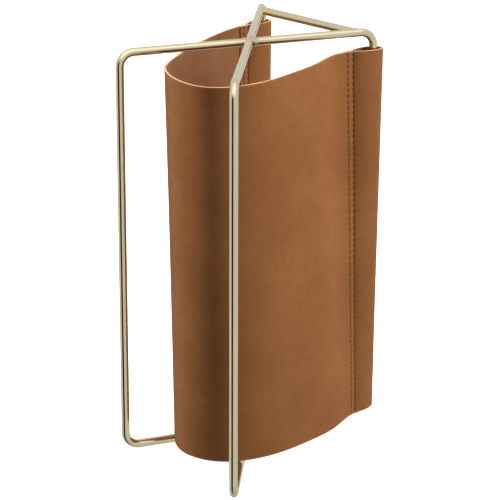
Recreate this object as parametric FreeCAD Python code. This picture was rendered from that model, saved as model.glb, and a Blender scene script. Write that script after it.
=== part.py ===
"""Magazine rack: a welded frame of round brass rod that holds a stitched leather sling.

Frame of the part: millimetres, +Z up, Z = 0 on the floor. The origin is on the floor,
under the point where the bars cross. The main ring stands in the YZ plane, with its
front post at -Y and its back post at +Y. The two side hoops are turned from it.
"""
import FreeCAD
import Part
import math
import os

Vector = FreeCAD.Vector

# ---- driving dimensions (mm, degrees) ----
ROD_DIAMETER = 7.2            # round rod of every frame member
FRAME_HEIGHT = 360.0          # floor to the top of the upper bars
RING_REACH = 148.0            # crossing to the axis of the front or back post
HOOP_REACH = 115.0            # crossing to the axis of a side post
HOOP_AZIMUTH = 26.0           # side hoops, turned from +X towards +Y
BEND_RADIUS = 12.0            # rod axis, all eight corners of ring and hoops
TIE_INSET_BACK = 22.0         # tie bar joint, measured in from the back post
TIE_INSET_RIGHT = 16.0        # tie bar joint, measured in from the right post
WELD_THROAT = 1.5             # how far a weld fillet stands off the rod
WELD_LENGTH = 3.0             # along the bar, from the rod it butts on
WELD_ROOT = 1.0               # how far the fillet starts inside that rod
WELD_HEIGHT = 6.4             # welds are ground back to this, just inside the rod's height

LEATHER_THICKNESS = 2.0
SLING_BOTTOM = 8.0            # lower edge, just above the lower bars
SLING_TOP = 342.0             # upper edge, where the upper bends start
SLEEVE_HALF_WIDTH = 5.5       # clear half width of the pocket round a post
SLEEVE_OVERHANG = (-1.0, 2.0) # centre of the pocket's round end past the post: lower, upper
SLEEVE_PARALLEL = 6.0         # the pocket's walls stay parallel to here
WALL_TAPER_LAG = 0.5          # their outer faces start to taper this much later
POCKET_TO_SEAM = 1.0          # the pocket closes this far before the seam line
SEAM_DISTANCE = 22.0          # post axis to the line where the two layers meet
FLAP_LENGTH = 10.0            # the turned-in end, beyond the seam line
STITCH_ROWS = (1.0, 6.5)      # thread rows, measured from the seam line
THREAD_DIAMETER = 0.8
THREAD_GAP = 0.15             # thread line above the leather's face
THREAD_MARGIN = 2.0           # the rows stop this far from the leather's edges
BEND_RELIEF = 0.7             # gap between leather and rod at the lower bends

# Direction of each sleeve, from its post towards the panel, at the lower and upper edge.
BACK_SLEEVE_AZIMUTH = (235.0, 235.0)
RIGHT_SLEEVE_AZIMUTH = (243.0, 217.0)

# Outer face of the panel between the two flaps, from the back seam round to the right one.
# The lower edge bellies out towards the front right; the upper edge is pulled flatter.
PANEL_LOWER = [(-33, 97), (-50, 48), (-60, 2), (-62, -38), (-51, -70),
               (-20, -87), (21, -74), (57, -38), (79, -6)]
PANEL_UPPER = [(-34, 97), (-52, 48), (-64, 2), (-68, -36), (-57, -71),
               (-24, -100), (10, -86), (37, -50), (61, -4)]
FACE_SAMPLES = 24             # points that carry the panel's inner face

# ---- derived ----
ROD_RADIUS = ROD_DIAMETER / 2
LOW_AXIS = ROD_RADIUS
HIGH_AXIS = FRAME_HEIGHT - ROD_RADIUS
UP = Vector(0, 0, 1)


def heading(degrees):
    """Unit vector in the floor plane."""
    angle = math.radians(degrees)
    return Vector(math.cos(angle), math.sin(angle), 0)


BACK = heading(90.0)
FRONT = heading(270.0)
RIGHT = heading(HOOP_AZIMUTH)
LEFT = heading(HOOP_AZIMUTH + 180.0)
BACK_POST = BACK * RING_REACH
RIGHT_POST = RIGHT * HOOP_REACH


def rod(start, end, radius=ROD_RADIUS):
    """A straight round bar between two points."""
    run = end - start
    return Part.makeCylinder(radius, run.Length, start, run)


def bend(post, outward, low, radius=ROD_RADIUS):
    """A quarter turn between a post and its lower or upper bar."""
    level = LOW_AXIS + BEND_RADIUS if low else HIGH_AXIS - BEND_RADIUS
    away = UP * (-1 if low else 1)
    centre = post - outward * BEND_RADIUS + UP * level
    section = Part.Face(Part.Wire([Part.makeCircle(radius, post + UP * level, away)]))
    return section.revolve(centre, outward.cross(away), 90.0)


def hoop_side(outward, reach):
    """One post with its two bends and the two bars that run in to the crossing."""
    post = outward * reach
    bar_end = post - outward * BEND_RADIUS
    pieces = [rod(post + UP * (LOW_AXIS + BEND_RADIUS),
                  post + UP * (HIGH_AXIS - BEND_RADIUS))]
    for low in (True, False):
        level = UP * (LOW_AXIS if low else HIGH_AXIS)
        pieces.append(bend(post, outward, low))
        pieces.append(rod(level, bar_end + level))
    return pieces


def fuse(pieces):
    body = pieces[0].multiFuse(pieces[1:])
    return body.removeSplitter()


def main_ring():
    """The closed ring that carries the front and the back post."""
    return fuse(hoop_side(FRONT, RING_REACH) + hoop_side(BACK, RING_REACH))


def side_hoop(outward, ring):
    """A side hoop, its two bars cut to sit against the ring."""
    return fuse(hoop_side(outward, HOOP_REACH)).cut(ring)


def tie_bar_ends(level):
    """Where the tie bar's axis meets the ring, near the back post, and the right hoop."""
    start = BACK * (RING_REACH - TIE_INSET_BACK) + UP * level
    end = RIGHT * (HOOP_REACH - TIE_INSET_RIGHT) + UP * level
    return start, end


def tie_bar(low):
    """A straight bar between ring and right hoop, its ends cut to sit against them."""
    level = LOW_AXIS if low else HIGH_AXIS
    start, end = tie_bar_ends(level)
    bar = rod(start, end)
    for outward, reach in ((BACK, RING_REACH), (RIGHT, HOOP_REACH)):
        post = outward * reach
        straight = rod(UP * level, post - outward * BEND_RADIUS + UP * level)
        bar = bar.cut(straight).cut(bend(post, outward, low))
    return max(bar.Solids, key=lambda solid: solid.Volume)


def weld_bead(joint, direction, against):
    """A fillet round the end of a bar that butts on the rod through the joint."""
    direction = Vector(direction).normalize()
    base = joint + direction * (ROD_RADIUS - WELD_ROOT)
    cone = Part.makeCone(ROD_RADIUS + WELD_THROAT, ROD_RADIUS, WELD_LENGTH + WELD_THROAT,
                         base, direction)
    width = 2 * (ROD_DIAMETER + WELD_THROAT)
    corner = joint - Vector(width / 2, width / 2, WELD_HEIGHT / 2)
    bead = cone.common(Part.makeBox(width, width, WELD_HEIGHT, corner))
    for solid in against:
        bead = bead.cut(solid)
    return max(bead.Solids, key=lambda solid: solid.Volume)


def cross_welds(level, ring, hoops):
    centre = UP * level
    beads = [weld_bead(centre, outward, [ring, hoop])
             for outward, hoop in zip((LEFT, RIGHT), hoops)]
    return Part.makeCompound(beads)


def tie_bar_welds(level, ring, hoop, bar):
    start, end = tie_bar_ends(level)
    beads = [weld_bead(start, end - start, [ring, bar]),
             weld_bead(end, start - end, [hoop, bar])]
    return Part.makeCompound(beads)


class Sleeve:
    """Places points round one post: along is towards the panel, out is the sling's outside."""

    def __init__(self, post, azimuth, level, outside, overhang):
        self.round_end = -overhang
        self.origin = Vector(post.x, post.y, level)
        self.along = heading(azimuth)
        self.out = heading(azimuth + outside)

    def at(self, along, out):
        return self.origin + self.along * along + self.out * out


def polyline(points):
    return [Part.makeLine(a, b) for a, b in zip(points, points[1:])]


def half_circle(a, middle, b):
    return Part.Arc(a, middle, b).toShape()


def spline(points, start_direction, end_direction):
    curve = Part.BSplineCurve()
    curve.interpolate(Points=points, InitialTangent=start_direction, FinalTangent=end_direction)
    return curve


def inner_face(curve):
    """The panel's other face: the same curve, set in by the leather's thickness."""
    first, last = curve.FirstParameter, curve.LastParameter
    points = []
    for i in range(FACE_SAMPLES + 1):
        place = first + (last - first) * i / FACE_SAMPLES
        tangent = curve.tangent(place)[0]
        points.append(curve.value(place) + UP.cross(tangent) * LEATHER_THICKNESS)
    return spline(points, curve.tangent(first)[0], curve.tangent(last)[0])


def sleeves_at(edge, level):
    overhang = SLEEVE_OVERHANG[edge]
    back = Sleeve(BACK_POST, BACK_SLEEVE_AZIMUTH[edge], level, -90.0, overhang)
    right = Sleeve(RIGHT_POST, RIGHT_SLEEVE_AZIMUTH[edge], level, 90.0, overhang)
    return back, right


def sling_outline(edge, level, panel):
    """Closed outline of the folded leather at one edge, as a list of edges."""
    back, right = sleeves_at(edge, level)
    t = LEATHER_THICKNESS
    wide = SLEEVE_HALF_WIDTH + t
    parallel = SLEEVE_PARALLEL + WALL_TAPER_LAG
    seam = SEAM_DISTANCE
    tip = SEAM_DISTANCE + FLAP_LENGTH
    o = back.round_end
    outside = [(o, wide), (parallel, wide), (seam, t), (tip, t)]
    inside = [(o, -wide), (parallel, -wide), (seam, -t), (tip, -t), (tip, 0)]
    points = [Vector(x, y, level) for x, y in panel]
    start = back.at(tip, t)
    end = right.at(tip, t)
    outer = spline([start] + points + [end], back.along, right.along * -1)
    inner = inner_face(outer)
    edges = polyline([back.at(*p) for p in outside])
    edges.append(outer.toShape())
    edges += polyline([right.at(*p) for p in reversed(outside)])
    edges.append(half_circle(right.at(o, wide), right.at(o - wide, 0), right.at(o, -wide)))
    edges += polyline([right.at(*p) for p in inside])
    edges.append(inner.toShape())
    edges += polyline([back.at(*p) for p in reversed(inside)])
    edges.append(half_circle(back.at(o, -wide), back.at(o - wide, 0), back.at(o, wide)))
    return edges, outer.length()


def pocket_outline(sleeve):
    """Closed outline of the space that the post stands in."""
    half = SLEEVE_HALF_WIDTH
    o = sleeve.round_end
    ring = [(o, half), (SLEEVE_PARALLEL, half), (SEAM_DISTANCE - POCKET_TO_SEAM, 0),
            (SLEEVE_PARALLEL, -half), (o, -half)]
    edges = polyline([sleeve.at(*p) for p in ring])
    edges.append(half_circle(sleeve.at(o, -half), sleeve.at(o - half, 0), sleeve.at(o, half)))
    return edges


def ruled_solid(lower, upper):
    """A solid between two closed outlines with the same number of edges."""
    faces = [Part.makeRuledSurface(a, b) for a, b in zip(lower, upper)]
    for edges in (lower, upper):
        faces.append(Part.Face(Part.Wire(Part.sortEdges(edges)[0])))
    shell = Part.makeShell(faces)
    shell.sewShape()
    solid = Part.makeSolid(shell)
    if solid.Volume < 0:
        solid.reverse()
    return solid


def leather_sling():
    """One sheet: a curved panel whose two ends are folded round the posts and stitched down."""
    low, low_length = sling_outline(0, SLING_BOTTOM, PANEL_LOWER)
    high, high_length = sling_outline(1, SLING_TOP, PANEL_UPPER)
    print("panel length, lower and upper edge: %.1f %.1f" % (low_length, high_length))
    sling = ruled_solid(low, high)
    for low_sleeve, high_sleeve in zip(sleeves_at(0, SLING_BOTTOM), sleeves_at(1, SLING_TOP)):
        sling = sling.cut(ruled_solid(pocket_outline(low_sleeve), pocket_outline(high_sleeve)))
    for post, outward in ((BACK_POST, BACK), (RIGHT_POST, RIGHT)):
        sling = sling.cut(bend(post, outward, True, ROD_RADIUS + BEND_RELIEF))
    return max(sling.Solids, key=lambda solid: solid.Volume)


def thread_row(which, offset):
    """One row of stitching: the thread lines on the outer and on the inner face."""
    lift = LEATHER_THICKNESS + THREAD_DIAMETER / 2 + THREAD_GAP
    low = sleeves_at(0, SLING_BOTTOM)[which]
    high = sleeves_at(1, SLING_TOP)[which]
    margin = UP * THREAD_MARGIN
    lines = []
    for side in (lift, -lift):
        start = low.at(SEAM_DISTANCE + offset, side) + margin
        end = high.at(SEAM_DISTANCE + offset, side) - margin
        lines.append(rod(start, end, THREAD_DIAMETER / 2))
    return Part.makeCompound(lines)


def build():
    ring = main_ring()
    left = side_hoop(LEFT, ring)
    right = side_hoop(RIGHT, ring)
    nodes = {"main_ring": ring, "left_hoop": left, "right_hoop": right}
    for name, low in (("top", False), ("bottom", True)):
        level = LOW_AXIS if low else HIGH_AXIS
        bar = tie_bar(low)
        nodes[name + "_tie_bar"] = bar
        nodes[name + "_cross_welds"] = cross_welds(level, ring, (left, right))
        nodes[name + "_tie_bar_welds"] = tie_bar_welds(level, ring, right, bar)
    nodes["leather_sling"] = leather_sling()
    for which, post in enumerate(("back", "right")):
        for row, offset in zip(("sleeve", "flap"), STITCH_ROWS):
            nodes["%s_seam_%s_thread" % (post, row)] = thread_row(which, offset)
    return nodes


os.makedirs("parts", exist_ok=True)
for node, shape in build().items():
    box = shape.optimalBoundingBox(True, False)
    print("%-26s %d solid(s) valid=%s %.1f x %.1f mm, z %.1f..%.1f"
          % (node, len(shape.Solids), shape.isValid(), box.XLength, box.YLength, box.ZMin, box.ZMax))
    shape.exportStep("parts/%s.step" % node)
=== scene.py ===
# %% [markdown]
# # A magazine rack of bent brass rod with a leather sling
# The metal frame comes from the CAD model and stays as it is: here it only gets its polished finish.
# The leather and its stitching are soft, so they are made again in this lesson. One flat sheet is
# wrapped round two of the posts, and four rows of thread hold its ends down.
# Everything is in metres, in the frame of the CAD model, so each piece goes where the CAD says.

# %% Load the fixed frame
import bmesh
import bpy
import math
import numpy as np
from mathutils import Matrix, Vector, noise
from mathutils.geometry import interpolate_bezier


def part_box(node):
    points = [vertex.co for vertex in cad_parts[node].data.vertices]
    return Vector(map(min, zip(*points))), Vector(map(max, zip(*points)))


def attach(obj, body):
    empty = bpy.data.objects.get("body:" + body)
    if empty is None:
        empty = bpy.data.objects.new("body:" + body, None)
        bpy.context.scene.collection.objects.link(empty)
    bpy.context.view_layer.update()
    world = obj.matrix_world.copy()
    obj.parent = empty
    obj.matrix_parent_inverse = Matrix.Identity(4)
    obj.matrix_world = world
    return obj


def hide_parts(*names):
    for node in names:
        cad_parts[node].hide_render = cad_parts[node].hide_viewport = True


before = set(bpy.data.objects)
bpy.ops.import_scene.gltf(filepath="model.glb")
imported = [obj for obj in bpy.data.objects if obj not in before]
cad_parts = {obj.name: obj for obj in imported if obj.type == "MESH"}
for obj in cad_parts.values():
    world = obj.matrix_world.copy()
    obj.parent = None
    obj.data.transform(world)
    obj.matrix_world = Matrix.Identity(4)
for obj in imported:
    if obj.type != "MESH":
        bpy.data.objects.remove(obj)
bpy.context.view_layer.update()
MM = 0.001

# %% [markdown]
# ## Camera
# The rack is seen from the front and a little from above, through a long lens, which keeps its
# upright posts nearly parallel. The camera is turned in three steps: it starts looking down, is
# tipped up until it looks 19 degrees below the horizon, and is then swung round the upright axis.

# %% Camera
LOOKING_DOWN = math.radians(18.95)
SWING = math.radians(4.51)
ROLL = math.radians(0.25)
camera_data = bpy.data.cameras.new("camera")
camera_data.sensor_width = 36.0
camera_data.lens = 148.82
camera = bpy.data.objects.new("camera", camera_data)
bpy.context.scene.collection.objects.link(camera)
turn = (Matrix.Rotation(SWING, 4, "Z") @ Matrix.Rotation(math.pi / 2 - LOOKING_DOWN, 4, "X")
        @ Matrix.Rotation(ROLL, 4, "Z"))
camera.matrix_world = Matrix.Translation((0.135376, -1.6996, 0.756409)) @ turn
bpy.context.scene.camera = camera
print("camera at", [round(x, 3) for x in camera.matrix_world.translation])

# %% [markdown]
# ## Sums with shader nodes
# A material is a net of small nodes. Wiring them one by one hides the idea, so a small class wraps a
# socket and lets Python's own signs add the Math nodes: `1 - mask * 0.5` is then two nodes. Another
# small class adds any other node, its settings first and then the values or links of its sockets.

# %% Node helpers
class Signal:
    """One number that varies over a surface; + - * / on it add Math nodes."""

    def __init__(self, net, socket):
        self.net, self.socket = net, socket

    def _sum(self, operation, *values):
        made = self.net.add("ShaderNodeMath", {"operation": operation}, dict(enumerate(values)))
        return Signal(self.net, made.outputs[0])

    def __add__(self, other): return self._sum("ADD", self, other)
    def __radd__(self, other): return self._sum("ADD", other, self)
    def __sub__(self, other): return self._sum("SUBTRACT", self, other)
    def __rsub__(self, other): return self._sum("SUBTRACT", other, self)
    def __mul__(self, other): return self._sum("MULTIPLY", self, other)
    def __rmul__(self, other): return self._sum("MULTIPLY", other, self)
    def __truediv__(self, other): return self._sum("DIVIDE", self, other)
    def __abs__(self): return self._sum("ABSOLUTE", self)
    def fraction(self): return self._sum("FRACT", self)
    def root(self): return self._sum("SQRT", self)
    def smaller(self, other): return self._sum("MINIMUM", self, other)
    def turned_to(self, other): return self._sum("ARCTAN2", self, other)

    def fade(self, start, end, low=0.0, high=1.0):
        """Smoothly from low at start to high at end."""
        made = self.net.add("ShaderNodeMapRange", {"interpolation_type": "SMOOTHSTEP"},
                            {"Value": self, "From Min": start, "From Max": end,
                             "To Min": low, "To Max": high})
        return Signal(self.net, made.outputs[0])


class Net:
    """Adds nodes to one node tree."""

    def __init__(self, tree):
        self.tree = tree

    def add(self, kind, settings=None, inputs=None):
        made = self.tree.nodes.new(kind)
        for name, value in (settings or {}).items():
            setattr(made, name, value)
        for name, value in (inputs or {}).items():
            if isinstance(value, Signal):
                value = value.socket
            if isinstance(value, bpy.types.NodeSocket):
                self.tree.links.new(value, made.inputs[name])
            else:
                made.inputs[name].default_value = value
        return made

    def split(self, vector):
        parts = self.add("ShaderNodeSeparateXYZ", None, {0: vector})
        return [Signal(self, socket) for socket in parts.outputs]

    def noise(self, place, scale, detail=2.0, roughness=0.5):
        made = self.add("ShaderNodeTexNoise", None,
                        {"Vector": place, "Scale": scale, "Detail": detail, "Roughness": roughness})
        return Signal(self, made.outputs["Fac"])

    def stretched(self, place, scale, turn=(0.0, 0.0, 0.0)):
        made = self.add("ShaderNodeMapping", None, {"Vector": place, "Scale": scale, "Rotation": turn})
        return made.outputs[0]

    def blend(self, share, first, second):
        """A colour between two, as the share says."""
        made = self.add("ShaderNodeMix", {"data_type": "RGBA"}, {0: share, 6: first, 7: second})
        return made.outputs[2]


def colour(red, green, blue):
    return (red, green, blue, 1.0)


# %% [markdown]
# ## Floor and light
# The rack stands on a plain pale floor that glows a little, so that it stays white far away from the
# lights. Polished rod shows its surroundings more than itself, so the surroundings are those of a
# light tent: pale all round, with a lamp overhead and one dark opening in front. The opening draws
# the dark line down each post. Two large soft lights at the sides shape the leather.

# %% Floor
FLOOR_SIZE = 12.0
floor_mesh = bpy.data.meshes.new("floor")
shape = bmesh.new()
bmesh.ops.create_grid(shape, x_segments=1, y_segments=1, size=FLOOR_SIZE / 2)
shape.to_mesh(floor_mesh)
shape.free()
floor = bpy.data.objects.new("floor", floor_mesh)
bpy.context.scene.collection.objects.link(floor)
floor_paint = bpy.data.materials.new("pale_floor")
floor_paint.use_nodes = True
floor_shader = floor_paint.node_tree.nodes["Principled BSDF"]
floor_shader.inputs["Base Color"].default_value = colour(0.93, 0.93, 0.93)
floor_shader.inputs["Roughness"].default_value = 0.9
floor_shader.inputs["Specular IOR Level"].default_value = 0.1
floor_shader.inputs["Emission Color"].default_value = colour(1.0, 1.0, 1.0)
floor_shader.inputs["Emission Strength"].default_value = 0.75
floor_mesh.materials.append(floor_paint)
floor.visible_glossy = False
floor.visible_diffuse = False

# %% Light tent
GAP_HEADING = math.radians(-119.0)
SOFT_FILL = 0.15              # what the tent adds to surfaces that aren't mirrors
world = bpy.data.worlds.new("light_tent")
bpy.context.scene.world = world
world.use_nodes = True
net = Net(world.node_tree)
direction = net.add("ShaderNodeTexCoord").outputs["Generated"]
east, north, height = net.split(direction)
heading_away = abs(north.turned_to(east) - GAP_HEADING)
gap = (heading_away.fade(math.radians(19.0), math.radians(28.0), 1.0, 0.0)
       * height.fade(-0.1, 0.6, 1.0, 0.0))
lamp = (height * 0.85 - north * 0.5).fade(0.55, 0.85)
seen_in_metal = Signal(net, net.add("ShaderNodeLightPath").outputs["Is Glossy Ray"])
tent = (0.66 + 0.5 * lamp) * height.fade(-0.9, -0.1, 0.72, 1.0) * (1 - 0.98 * gap)
brightness = SOFT_FILL * (1 - seen_in_metal) + tent * seen_in_metal
background = world.node_tree.nodes["Background"]
background.inputs["Color"].default_value = colour(1.0, 0.98, 0.95)
world.node_tree.links.new(brightness.socket, background.inputs["Strength"])


# %% Soft lights
def soft_light(name, place, aim, size, power, mirrored=False):
    data = bpy.data.lights.new(name, "AREA")
    data.shape, data.size, data.size_y, data.energy = "RECTANGLE", size[0], size[1], power
    light = bpy.data.objects.new(name, data)
    away = Vector(place) - Vector(aim)
    light.matrix_world = Matrix.Translation(place) @ away.to_track_quat("Z", "Y").to_matrix().to_4x4()
    bpy.context.scene.collection.objects.link(light)
    light.visible_glossy = mirrored
    print(name, "stands", round(away.length, 2), "m from its aim")


MIDDLE = (0.0, 0.0, 0.18)
soft_light("left_light", (-1.7, -0.05, 0.75), MIDDLE, (0.8, 1.2), 27.0)
soft_light("right_light", (1.7, -0.34, 0.85), MIDDLE, (0.8, 1.2), 29.0)
soft_light("top_light", (0.1, 0.2, 2.1), MIDDLE, (1.8, 1.8), 60.0)
bpy.context.scene.view_settings.view_transform = "Standard"

# %% [markdown]
# ## Polished brass rod
# The rods are drawn through a die and then plated and polished, so fine lines run along them. The
# lines follow the posts upright and the bars level. One finish is made for each heading that bars
# run in, and it changes from upright to level lines at the bends. Near a joint the heat of welding has
# left the metal a little warmer in colour and less bright.

# %% Where the posts stand, read from the CAD nodes
ring_low, ring_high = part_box("main_ring")
hoop_low, hoop_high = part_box("right_hoop")
rod_radius = (ring_high.x - ring_low.x) / 2
back_post = Vector((0, ring_high.y - rod_radius, 0))
right_post = Vector((hoop_high.x - rod_radius, hoop_high.y - rod_radius, 0))
frame_top = ring_high.z
hoop_heading = math.atan2(right_post.y, right_post.x)
ring_heading = math.pi / 2
print("rod", round(2 * rod_radius / MM, 2), "mm, frame", round(frame_top / MM, 1), "mm high")
for post in (back_post, right_post):
    print("post at", [round(x / MM, 1) for x in post[:2]])


# %% Finish of the rods
BEND_ZONE = 0.016
ALONG, ACROSS = 40, 2600      # drawn lines a metre, along the rod and across it
CROSSING_TOP = Vector((0, 0, frame_top - rod_radius))
CROSSING_FOOT = Vector((0, 0, rod_radius))


def distance(net, place, point):
    """How far each spot of the surface is from a point."""
    made = net.add("ShaderNodeVectorMath", {"operation": "DISTANCE"}, {0: place, 1: point})
    return Signal(net, made.outputs["Value"])


def brass_finish(name, heading, butt_weld=None):
    material = bpy.data.materials.new(name)
    material.use_nodes = True
    net = Net(material.node_tree)
    shader = material.node_tree.nodes["Principled BSDF"]
    place = net.add("ShaderNodeTexCoord").outputs["Object"]
    z = net.split(place)[2]
    level_lines = net.noise(
        net.stretched(place, (ALONG, ACROSS, ACROSS), (0, 0, -heading)), 1.0, 3.0)
    upright_lines = net.noise(net.stretched(place, (ACROSS, ACROSS, ALONG)), 1.0, 3.0)
    on_post = z.fade(BEND_ZONE * 0.7, BEND_ZONE * 1.3) * z.fade(
        frame_top - BEND_ZONE * 1.3, frame_top - BEND_ZONE * 0.7, 1.0, 0.0)
    lines = upright_lines * on_post + level_lines * (1 - on_post)
    smudges = net.noise(place, 34.0, 3.0, 0.6)
    clouds = net.noise(place, 11.0, 2.0)
    heat = distance(net, place, CROSSING_TOP).smaller(distance(net, place, CROSSING_FOOT)).fade(
        0.006, 0.022, 1.0, 0.0)
    polished = net.blend(clouds, colour(0.83, 0.755, 0.52), colour(0.89, 0.82, 0.59))
    warmed = net.blend(heat * 0.45, polished, colour(0.66, 0.52, 0.34))
    rubbed = net.blend(lines.fade(0.55, 0.8) * 0.25, warmed, colour(0.70, 0.63, 0.43))
    roughness = 0.05 + 0.06 * smudges + 0.06 * lines + 0.10 * heat
    if butt_weld is not None:
        mark = abs(z - butt_weld).fade(0.0002, 0.0006, 1.0, 0.0)
        rubbed = net.blend(mark * 0.8, rubbed, colour(0.93, 0.88, 0.74))
        roughness = roughness + 0.25 * mark
    net.tree.links.new(rubbed, shader.inputs["Base Color"])
    net.tree.links.new(roughness.socket, shader.inputs["Roughness"])
    shader.inputs["Metallic"].default_value = 1.0
    height = lines * 0.6 + smudges * 0.4
    bump = net.add("ShaderNodeBump", None, {"Strength": 0.12, "Distance": 0.00006, "Height": height})
    net.tree.links.new(bump.outputs[0], shader.inputs["Normal"])
    return material


# %% Finish of the welds
def weld_finish():
    """A small ground and plated fillet: rougher than the rod, with a fine ripple."""
    material = bpy.data.materials.new("weld_metal_finish")
    material.use_nodes = True
    net = Net(material.node_tree)
    shader = material.node_tree.nodes["Principled BSDF"]
    place = net.add("ShaderNodeTexCoord").outputs["Object"]
    ripple = net.noise(place, 700.0, 2.0)
    grains = net.noise(place, 2400.0, 1.0)
    tint = net.blend(ripple, colour(0.72, 0.66, 0.47), colour(0.86, 0.81, 0.63))
    net.tree.links.new(tint, shader.inputs["Base Color"])
    net.tree.links.new((0.2 + 0.18 * grains).socket, shader.inputs["Roughness"])
    shader.inputs["Metallic"].default_value = 1.0
    bump = net.add("ShaderNodeBump", None, {"Strength": 0.4, "Distance": 0.0002, "Height": ripple})
    net.tree.links.new(bump.outputs[0], shader.inputs["Normal"])
    return material


# %% Put the finishes on the CAD nodes
tie_low, tie_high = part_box("top_tie_bar")
tie_heading = math.atan2(tie_low.y - tie_high.y, tie_high.x - tie_low.x)
BUTT_WELD_HEIGHT = 0.0175
ring_brass = brass_finish("ring_brass", ring_heading, BUTT_WELD_HEIGHT)
hoop_brass = brass_finish("hoop_brass", hoop_heading)
tie_brass = brass_finish("tie_bar_brass", tie_heading)
weld_metal = weld_finish()
finishes = {"main_ring": ring_brass, "left_hoop": hoop_brass, "right_hoop": hoop_brass,
            "top_tie_bar": tie_brass, "bottom_tie_bar": tie_brass}
for end in ("top", "bottom"):
    for kind in ("cross", "tie_bar"):
        finishes[end + "_" + kind + "_welds"] = weld_metal
for node, finish in finishes.items():
    rod_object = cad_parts[node]
    for slot in rod_object.material_slots:
        slot.link = "OBJECT"
        slot.material = finish
    print(node, "has", len(rod_object.data.polygons), "triangles")

# %% [markdown]
# ## The path of the leather
# Seen from above, the sling is one line. It starts as a flap, opens into a pocket round the back
# post, closes again at a seam, runs as a wide curve past the left and front posts, and ends in the
# same way at the right post. The line at the lower edge differs a little from the line at the upper
# edge, so both are drawn, and the leather between them is straight.

# %% Sleeves round the posts
LEATHER = 1.9 * MM            # thickness
LAYER = 1.0 * MM              # middle of each of the two layers, from the seam's middle
SEAM = 22.0 * MM              # post to the line where the two layers meet
FLAP = 10.0 * MM
sheet_low, sheet_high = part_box("leather_sling")
EDGE_HEIGHTS = (sheet_low.z, sheet_high.z)
# each sleeve: its post, its heading, the side that is the outside, and how far its round end
# reaches past the post; first at the lower edge, then at the upper edge
BACK_SLEEVE = ((back_post, 235.0, -90.0, 5.6 * MM), (back_post, 235.0, -90.0, 8.5 * MM))
RIGHT_SLEEVE = ((right_post, 243.0, 90.0, 5.6 * MM), (right_post, 217.0, 90.0, 8.5 * MM))
FLAP_STEPS, POCKET_STEPS, PANEL_STEPS = 8, 12, 84


def heading_vector(degrees):
    return Vector((math.cos(math.radians(degrees)), math.sin(math.radians(degrees)), 0))


def by_post(sleeve, along, out):
    """A place beside a post: along goes towards the panel, out to the sling's outside."""
    post, heading, outside, _ = sleeve
    return post + heading_vector(heading) * along + heading_vector(heading + outside) * out


def run(start, end, steps):
    return [start.lerp(end, i / steps) for i in range(steps)]


def pocket_wall(side, end):
    """Half of the pocket, from the seam to its round end, as places (along, out)."""
    points = [Vector((SEAM, side * LAYER)), Vector((15.5 * MM, side * 7.4 * MM)),
              Vector((-end, side * 10.6 * MM)), Vector((-end, 0))]
    return interpolate_bezier(*points, POCKET_STEPS + 1)


def sleeve_line(sleeve):
    """From the flap's end round the post to where the panel starts."""
    inner, outer = [pocket_wall(side, sleeve[3]) for side in (-1, 1)]
    tip = SEAM + FLAP
    line = run(Vector((tip, -LAYER)), inner[0], FLAP_STEPS) + inner[:-1] + outer[:0:-1]
    line += run(outer[0], Vector((tip, LAYER)), FLAP_STEPS)
    return [by_post(sleeve, place[0], place[1]) for place in line]


# %% The panel's curve
PANEL_LOWER = [(-33, 97), (-50, 48), (-60, 2), (-62, -38), (-51, -70),
               (-20, -87), (21, -74), (57, -38), (79, -6)]
PANEL_UPPER = [(-34, 97), (-52, 48), (-64, 2), (-68, -36), (-57, -71),
               (-24, -100), (10, -86), (37, -50), (61, -4)]


def smooth_line(points, start_turn, end_turn, steps):
    """A curve without kinks through the points, cut into even steps. Its slope at each point is
    solved for, so that the bend changes smoothly there, as in a sheet that springs."""
    points = np.array(points, float)
    gaps = np.linalg.norm(np.diff(points, axis=0), axis=1)
    count = len(points)
    system, wanted = np.eye(count), np.zeros((count, points.shape[1]))
    wanted[0], wanted[-1] = start_turn, end_turn
    for i in range(1, count - 1):
        before, after = gaps[i - 1], gaps[i]
        system[i, i - 1:i + 2] = after, 2 * (before + after), before
        step_in, step_out = points[i] - points[i - 1], points[i + 1] - points[i]
        wanted[i] = 3 * (after * step_in / before + before * step_out / after)
    slopes = np.linalg.solve(system, wanted)
    fine = []
    for i, gap in enumerate(gaps):
        start, end = Vector(points[i]), Vector(points[i + 1])
        reach = gap / 3
        fine += interpolate_bezier(start, start + Vector(slopes[i]) * reach,
                                   end - Vector(slopes[i + 1]) * reach, end, 40)[:-1]
    fine.append(Vector(points[-1]))
    fine = np.array([point[:] for point in fine])
    travelled = np.concatenate([[0], np.cumsum(np.linalg.norm(np.diff(fine, axis=0), axis=1))])
    even = np.linspace(0, travelled[-1], steps + 1)
    return [Vector([np.interp(place, travelled, fine[:, axis]) for axis in range(3)])
            for place in even]


def panel_line(edge, outline):
    """The middle of the leather from the back flap's end to the right flap's end."""
    back, right = BACK_SLEEVE[edge], RIGHT_SLEEVE[edge]
    tip = SEAM + FLAP
    places = [by_post(back, tip, 2 * LAYER)] + [Vector((x, y, 0)) * MM for x, y in outline]
    places.append(by_post(right, tip, 2 * LAYER))
    face = smooth_line(places, heading_vector(back[1]), -heading_vector(right[1]), PANEL_STEPS)
    middle = []
    for i, place in enumerate(face):
        ahead = face[min(i + 1, PANEL_STEPS)] - face[max(i - 1, 0)]
        middle.append(place + Vector((0, 0, 1)).cross(ahead.normalized()) * LAYER)
    return middle


sling_lines = []
for edge, outline in enumerate((PANEL_LOWER, PANEL_UPPER)):
    line = sleeve_line(BACK_SLEEVE[edge]) + panel_line(edge, outline)
    line += sleeve_line(RIGHT_SLEEVE[edge])[::-1]
    sling_lines.append(line)
    length = sum((b - a).length for a, b in zip(line, line[1:]))
    print("sling line", edge, "has", len(line), "places and is", round(length / MM, 1), "mm long")

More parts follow.
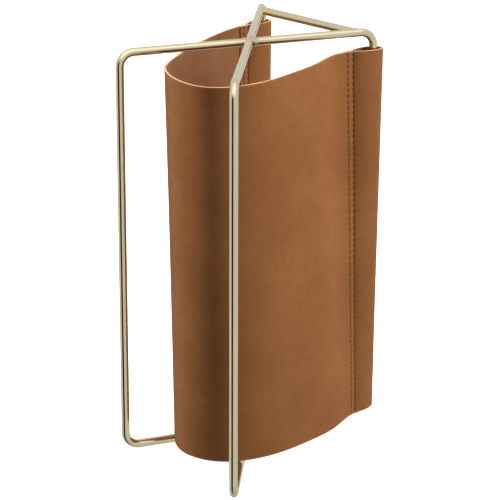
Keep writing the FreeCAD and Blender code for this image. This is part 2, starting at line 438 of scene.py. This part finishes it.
# %% [markdown]
# ## The leather sheet
# A real sling is cut flat and then folded, and the mesh is made in the same way: a flat grid as large
# as the cut, whose points are then carried to their places on the path. Its flat size stays with it as
# a UV map, so the grain and the stitch holes follow the leather. Solidify gives it its
# thickness, and a small bevel softens the cut edges.

# %% Cut the sheet flat
SHEET_HEIGHT = EDGE_HEIGHTS[1] - EDGE_HEIGHTS[0]
STITCHES = round(SHEET_HEIGHT / (5.2 * MM))
STITCH_PITCH = SHEET_HEIGHT / STITCHES
ROWS_PER_STITCH = 4
ROWS = STITCHES * ROWS_PER_STITCH
COLUMNS = len(sling_lines[0]) - 1
travelled = [0.0]
for i in range(COLUMNS):
    steps = [(line[i + 1] - line[i]).length for line in sling_lines]
    travelled.append(travelled[-1] + sum(steps) / 2)

leather = bmesh.new()
cut = leather.loops.layers.uv.new("flat_cut")
bmesh.ops.create_grid(leather, x_segments=COLUMNS, y_segments=ROWS, size=0.5)
columns = {}
for corner in leather.verts:
    columns[corner.index] = (round((corner.co.x + 0.5) * COLUMNS), round((corner.co.y + 0.5) * ROWS))
for face in leather.faces:
    for loop in face.loops:
        column, row = columns[loop.vert.index]
        loop[cut].uv = (travelled[column], SHEET_HEIGHT * row / ROWS)


# %% [markdown]
# ## Puckers and folds
# Thread that is pulled tight draws the two layers together at each stitch, and between the stitches
# they rise again. That small swelling is real shape and not only shading, so each point of the sheet
# is lifted a little, by how near it is to a row and by where it lies between two stitches.

# %% Puckers beside the stitches
ROW_OFFSETS = {"sleeve": 1.0 * MM, "flap": 6.5 * MM}     # each row, from the seam
PUCKER = 0.45 * MM
PUCKER_REACH = 2.2 * MM
BETWEEN_ROWS = 0.6            # how full the leather is between the two rows
seam_columns = [side for first in (FLAP_STEPS, COLUMNS - FLAP_STEPS - 2 * POCKET_STEPS)
                for side in (first, first + 2 * POCKET_STEPS)]


def pucker(column, height):
    """How far a layer stands off its neighbour: thread pulls it down, between stitches it rises."""
    nearest = min(seam_columns, key=lambda seam: abs(travelled[seam] - travelled[column]))
    on_flap = (column - nearest) * (1 if nearest in seam_columns[1::2] else -1) >= 0
    from_seam = abs(travelled[column] - travelled[nearest]) * (1 if on_flap else -1)
    rise = 0.0
    between = 0.5 + 0.5 * math.cos(math.tau * height / STITCH_PITCH)
    for offset in ROW_OFFSETS.values():
        rise += between * math.exp(-((from_seam - offset) / PUCKER_REACH) ** 2)
    middle_of_rows = sum(ROW_OFFSETS.values()) / 2
    rise += BETWEEN_ROWS * math.exp(-((from_seam - middle_of_rows) / PUCKER_REACH) ** 2)
    uneven = 0.75 + 0.5 * noise.noise(Vector((column * 0.35, height * 160, 7.0)))
    return PUCKER * rise * uneven


# %% Fold it round the posts
BEND_RADIUS = 12.0 * MM
BEND_CLEARANCE = rod_radius + LEATHER / 2 + 0.6 * MM
RIPPLE = 0.5 * MM


def clear_of_bend(place, post):
    """Bulges the leather round the rod's lower bend, where the rod leaves the pocket."""
    inward = -post.normalized()
    centre = post + inward * BEND_RADIUS + Vector((0, 0, rod_radius + BEND_RADIUS))
    if place.z > centre.z:
        return place
    sideways = Vector((0, 0, 1)).cross(inward)
    across = (place - centre).dot(sideways)
    reach = Vector(((place - centre).dot(inward), place.z - centre.z))
    if reach.x > 0 or reach.length < BEND_RADIUS / 2:
        return place
    inset = abs(reach.length - BEND_RADIUS)
    if inset >= BEND_CLEARANCE:
        return place
    needed = math.sqrt(BEND_CLEARANCE ** 2 - inset ** 2)
    if abs(across) >= needed:
        return place
    return place + sideways * (math.copysign(needed, across) - across)


first_panel = 2 * (FLAP_STEPS + POCKET_STEPS)
last_panel = COLUMNS - first_panel
for corner in leather.verts:
    column, row = columns[corner.index]
    share = row / ROWS
    low, high = sling_lines[0][column], sling_lines[1][column]
    place = low.lerp(high, share)
    place.z = EDGE_HEIGHTS[0] + SHEET_HEIGHT * share
    if first_panel < column < last_panel:
        ahead = (sling_lines[0][column + 1] - sling_lines[0][column - 1]).normalized()
        free = math.sin(math.pi * (column - first_panel) / (last_panel - first_panel))
        wave = noise.noise(Vector((travelled[column] * 9, place.z * 5, 0.3)))
        place += Vector((0, 0, 1)).cross(ahead) * RIPPLE * free * wave
    else:
        place = clear_of_bend(place, back_post if column <= first_panel else right_post)
    ahead = sling_lines[0][min(column + 1, COLUMNS)] - sling_lines[0][max(column - 1, 0)]
    outward = ahead.normalized().cross(Vector((0, 0, 1)))
    place += outward * pucker(column, place.z - EDGE_HEIGHTS[0])
    corner.co = place
for edge in leather.edges:
    ends = [columns[corner.index][0] for corner in edge.verts]
    edge.smooth = not (ends[0] == ends[1] and ends[0] in seam_columns)
sling_mesh = bpy.data.meshes.new("leather_sheet")
leather.to_mesh(sling_mesh)
leather.free()
for face in sling_mesh.polygons:
    face.use_smooth = True
sling = bpy.data.objects.new("leather_sheet", sling_mesh)
bpy.context.scene.collection.objects.link(sling)
middle_face = sling_mesh.polygons[len(sling_mesh.polygons) // 2]
print("the sheet has", len(sling_mesh.polygons), "faces; one in the middle looks", middle_face.normal)

# %% [markdown]
# ## Leather
# Smooth tanned leather is not one flat colour. The dye lies in soft clouds, the grain is a net of
# tiny pebbles that are a little darker between, and handling has polished some of them. The grain is
# read from the flat cut, in metres, so it has its true size. Shade is painted in as well: the colour
# is darker along the seam creases, in the dimples where the thread pulls and in the stitch holes.
# Three finishes are made: the grain side, the flesh side that faces inwards, and the paler raw edge.

# %% Stitch rows on the flat cut
STITCH_LENGTH = 3.3 * MM
FIRST_STITCH = STITCH_PITCH / 2
seam_places = [travelled[column] for column in seam_columns]
row_places = []
for offset in ROW_OFFSETS.values():
    row_places += [seam_places[0] - offset, seam_places[1] + offset,
                   seam_places[2] - offset, seam_places[3] + offset]
print(STITCHES, "stitches a row, on", len(row_places), "lines of the flat cut")


# %% Finish of the leather's two sides
def leather_finish(name, deep, pale, roughness_low, grain_depth):
    material = bpy.data.materials.new(name)
    material.use_nodes = True
    net = Net(material.node_tree)
    shader = material.node_tree.nodes["Principled BSDF"]
    cut_map = net.add("ShaderNodeUVMap", {"uv_map": "flat_cut"}).outputs[0]
    across, up, _ = net.split(cut_map)
    clouds = net.noise(cut_map, 14.0, 3.0, 0.55)
    mottle = net.noise(cut_map, 120.0, 3.0, 0.6)
    pebbles = net.add("ShaderNodeTexVoronoi", {"feature": "SMOOTH_F1"},
                      {"Vector": cut_map, "Scale": 850.0, "Smoothness": 0.6, "Randomness": 1.0})
    pebbles = Signal(net, pebbles.outputs["Distance"])
    pores = net.noise(cut_map, 2200.0, 2.0)
    folds = net.noise(net.stretched(cut_map, (260, 9, 1)), 1.0, 3.0)

    seam_line = None
    for place in seam_places:
        near = abs(across - place)
        seam_line = near if seam_line is None else seam_line.smaller(near)
    crease = seam_line.fade(0.0, 1.1 * MM, 1.0, 0.0)
    near_fold = seam_line.fade(2 * MM, 34 * MM, 1.0, 0.0)

    row = None
    for place in row_places:
        near = abs(across - place)
        row = near if row is None else row.smaller(near)
    along = abs((up / STITCH_PITCH).fraction() - 0.5) * STITCH_PITCH
    hole = abs(along - STITCH_LENGTH / 2)
    off_row, off_stitch, off_hole = row / MM, along / (2.2 * MM), hole / MM
    # pull and prick mark the dimple at each stitch and its holes: below, they sink the bump and darken
    # the colour as painted shade
    pull = (off_row * off_row + off_stitch * off_stitch).root().fade(0.6, 1.6, 1.0, 0.0)
    prick = (off_row * off_row + off_hole * off_hole).root().fade(0.35, 0.75, 1.0, 0.0)
    rim = up.smaller(SHEET_HEIGHT - up)
    worn = rim.fade(0.3 * MM, 2.2 * MM, 1.0, 0.0)

    leather_tone = net.blend(clouds.fade(0.3, 0.7), deep, pale)
    leather_tone = net.blend(mottle.fade(0.35, 0.75) * 0.22, leather_tone, colour(*[c * 0.72 for c in deep[:3]]))
    leather_tone = net.blend(pebbles.fade(0.35, 0.75) * 0.18, leather_tone, colour(*[c * 0.5 for c in deep[:3]]))
    # painted shade: the colour is darkened along the seam creases, in the stitch dimples and in the
    # stitch holes
    leather_tone = net.blend((crease * 0.45 + pull * 0.35 + prick * 0.4).smaller(0.85), leather_tone,
                    colour(0.070, 0.024, 0.008))
    leather_tone = net.blend(worn * 0.35, leather_tone, colour(0.42, 0.22, 0.11))
    net.tree.links.new(leather_tone, shader.inputs["Base Color"])
    roughness = roughness_low + 0.14 * mottle + 0.10 * pebbles + 0.12 * clouds
    net.tree.links.new(roughness.socket, shader.inputs["Roughness"])
    shader.inputs["Specular IOR Level"].default_value = 0.16
    shader.inputs["Specular Tint"].default_value = colour(1.0, 0.8, 0.6)

    height = (grain_depth * (pores * 0.35 - pebbles) * 0.12 + (folds - 0.5) * near_fold * 0.35
              - crease * 0.6 - pull * 0.9 - prick * 0.6)
    bump = net.add("ShaderNodeBump", None, {"Strength": 0.55, "Distance": 0.0006, "Height": height})
    net.tree.links.new(bump.outputs[0], shader.inputs["Normal"])
    return material


grain_side = leather_finish("leather_grain_side", colour(0.290, 0.112, 0.038),
                            colour(0.345, 0.140, 0.050), 0.42, 1.0)
flesh_side = leather_finish("leather_flesh_side", colour(0.300, 0.132, 0.060),
                            colour(0.350, 0.158, 0.074), 0.55, 1.6)


# %% Finish of the cut edge
def cut_edge_finish():
    """Undyed fibre shows where the leather is cut: paler, rough and finely layered."""
    material = bpy.data.materials.new("leather_cut_edge")
    material.use_nodes = True
    net = Net(material.node_tree)
    shader = material.node_tree.nodes["Principled BSDF"]
    place = net.add("ShaderNodeTexCoord").outputs["Object"]
    fibres = net.noise(place, 1500.0, 3.0, 0.7)
    patches = net.noise(place, 90.0, 2.0)
    pale = net.blend(patches, colour(0.55, 0.30, 0.15), colour(0.66, 0.39, 0.21))
    pale = net.blend(fibres.fade(0.45, 0.75) * 0.4, pale, colour(0.36, 0.17, 0.08))
    net.tree.links.new(pale, shader.inputs["Base Color"])
    net.tree.links.new((0.72 + 0.2 * fibres).socket, shader.inputs["Roughness"])
    bump = net.add("ShaderNodeBump", None, {"Strength": 0.5, "Distance": 0.0002, "Height": fibres})
    net.tree.links.new(bump.outputs[0], shader.inputs["Normal"])
    return material


cut_edge = cut_edge_finish()
for finish in (grain_side, flesh_side, cut_edge):
    sling_mesh.materials.append(finish)

# %% Give the sheet its thickness
wall = sling.modifiers.new("thickness", "SOLIDIFY")
wall.thickness = LEATHER
wall.offset = 0.0
wall.use_even_offset = True
wall.material_offset = 1
wall.material_offset_rim = 2
rounding = sling.modifiers.new("softened_edges", "BEVEL")
rounding.width = 0.35 * MM
rounding.segments = 2
rounding.limit_method = "ANGLE"
rounding.angle_limit = math.radians(60)
rounding.harden_normals = True
rounding.use_clamp_overlap = True
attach(sling, "sling")
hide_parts("leather_sling")

# %% [markdown]
# ## Stitching
# Each seam has two rows of brown thread, one close to the pocket and one near the flap's end.
# A lock stitch looks the same on both faces: a short thread that rises from one hole, lies on the
# leather and dives into the next. One stitch is made from a six-sided cylinder, cut across a few
# times and arched, and then copied down the row on both faces.

# %% One stitch
THREAD_RADIUS = 0.42 * MM
STITCH_DIP = 0.75 * MM


def arched_stitch():
    """A stitch lying along Z at the origin, with the leather below it on -Y."""
    shape = bmesh.new()
    bmesh.ops.create_cone(shape, cap_ends=True, segments=6, radius1=THREAD_RADIUS,
                          radius2=THREAD_RADIUS, depth=STITCH_LENGTH)
    sides = [edge for edge in shape.edges
             if abs(edge.verts[0].co.z - edge.verts[1].co.z) > STITCH_LENGTH / 2]
    bmesh.ops.subdivide_edges(shape, edges=sides, cuts=5)
    for corner in shape.verts:
        share = abs(corner.co.z) / (STITCH_LENGTH / 2)
        corner.co.x *= 1 - 0.25 * share ** 3
        corner.co.y = corner.co.y * (1 - 0.25 * share ** 3) - STITCH_DIP * share ** 3
    mesh = bpy.data.meshes.new("one_stitch")
    shape.to_mesh(mesh)
    shape.free()
    return mesh


stitch = arched_stitch()
print("one stitch has", len(stitch.polygons), "faces")


# %% Finish of the thread
def thread_finish():
    """Twisted brown thread, a little darker than the leather."""
    material = bpy.data.materials.new("sewing_thread_finish")
    material.use_nodes = True
    net = Net(material.node_tree)
    shader = material.node_tree.nodes["Principled BSDF"]
    place = net.add("ShaderNodeTexCoord").outputs["Object"]
    x, y, z = net.split(place)
    twist = abs(((z + 0.9 * x - 0.9 * y) / (0.7 * MM)).fraction() - 0.5) * 2
    fuzz = net.noise(place, 3000.0, 2.0)
    dark = net.blend(twist, colour(0.130, 0.052, 0.020), colour(0.215, 0.090, 0.036))
    dark = net.blend(fuzz.fade(0.5, 0.8) * 0.3, dark, colour(0.19, 0.09, 0.04))
    net.tree.links.new(dark, shader.inputs["Base Color"])
    net.tree.links.new((0.5 + 0.25 * fuzz).socket, shader.inputs["Roughness"])
    bump = net.add("ShaderNodeBump", None, {"Strength": 0.6, "Distance": 0.0001, "Height": twist})
    net.tree.links.new(bump.outputs[0], shader.inputs["Normal"])
    return material


thread = thread_finish()
stitch.materials.append(thread)
for face in stitch.polygons:
    face.use_smooth = True


# %% Sew the four rows
def at_height(sleeves, along, out, height):
    """A place on a sleeve at some height, between its lower and upper edge."""
    low, high = [by_post(sleeve, along, out) for sleeve in sleeves]
    place = low.lerp(high, (height - EDGE_HEIGHTS[0]) / SHEET_HEIGHT)
    place.z = height
    return place


def sew_row(name, sleeves, offset, node):
    rows = bmesh.new()
    face_out = LAYER + LEATHER / 2 + THREAD_RADIUS * 0.35
    for count in range(STITCHES):
        height = EDGE_HEIGHTS[0] + FIRST_STITCH + count * STITCH_PITCH
        for side in (1, -1):
            place = at_height(sleeves, SEAM + offset, side * face_out, height)
            out = (place - at_height(sleeves, SEAM + offset, 0, height)).normalized()
            up = (at_height(sleeves, SEAM + offset, 0, height + MM)
                  - at_height(sleeves, SEAM + offset, 0, height)).normalized()
            sideways = out.cross(up).normalized()
            before = len(rows.verts)
            rows.from_mesh(stitch)
            rows.verts.ensure_lookup_table()
            turn = Matrix((sideways, out, up)).transposed().to_4x4()
            bmesh.ops.transform(rows, matrix=Matrix.Translation(place) @ turn,
                                verts=rows.verts[before:])
    mesh = bpy.data.meshes.new(name)
    rows.to_mesh(mesh)
    rows.free()
    mesh.materials.append(thread)
    row = bpy.data.objects.new(name, mesh)
    bpy.context.scene.collection.objects.link(row)
    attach(row, "sling")
    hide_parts(node)
    print(name, "has", len(mesh.polygons), "faces")
    return row


for seam, sleeves in (("back", BACK_SLEEVE), ("right", RIGHT_SLEEVE)):
    for row, offset in ROW_OFFSETS.items():
        sew_row(f"{seam}_seam_{row}_stitches", sleeves, offset,
                                   f"{seam}_seam_{row}_thread")
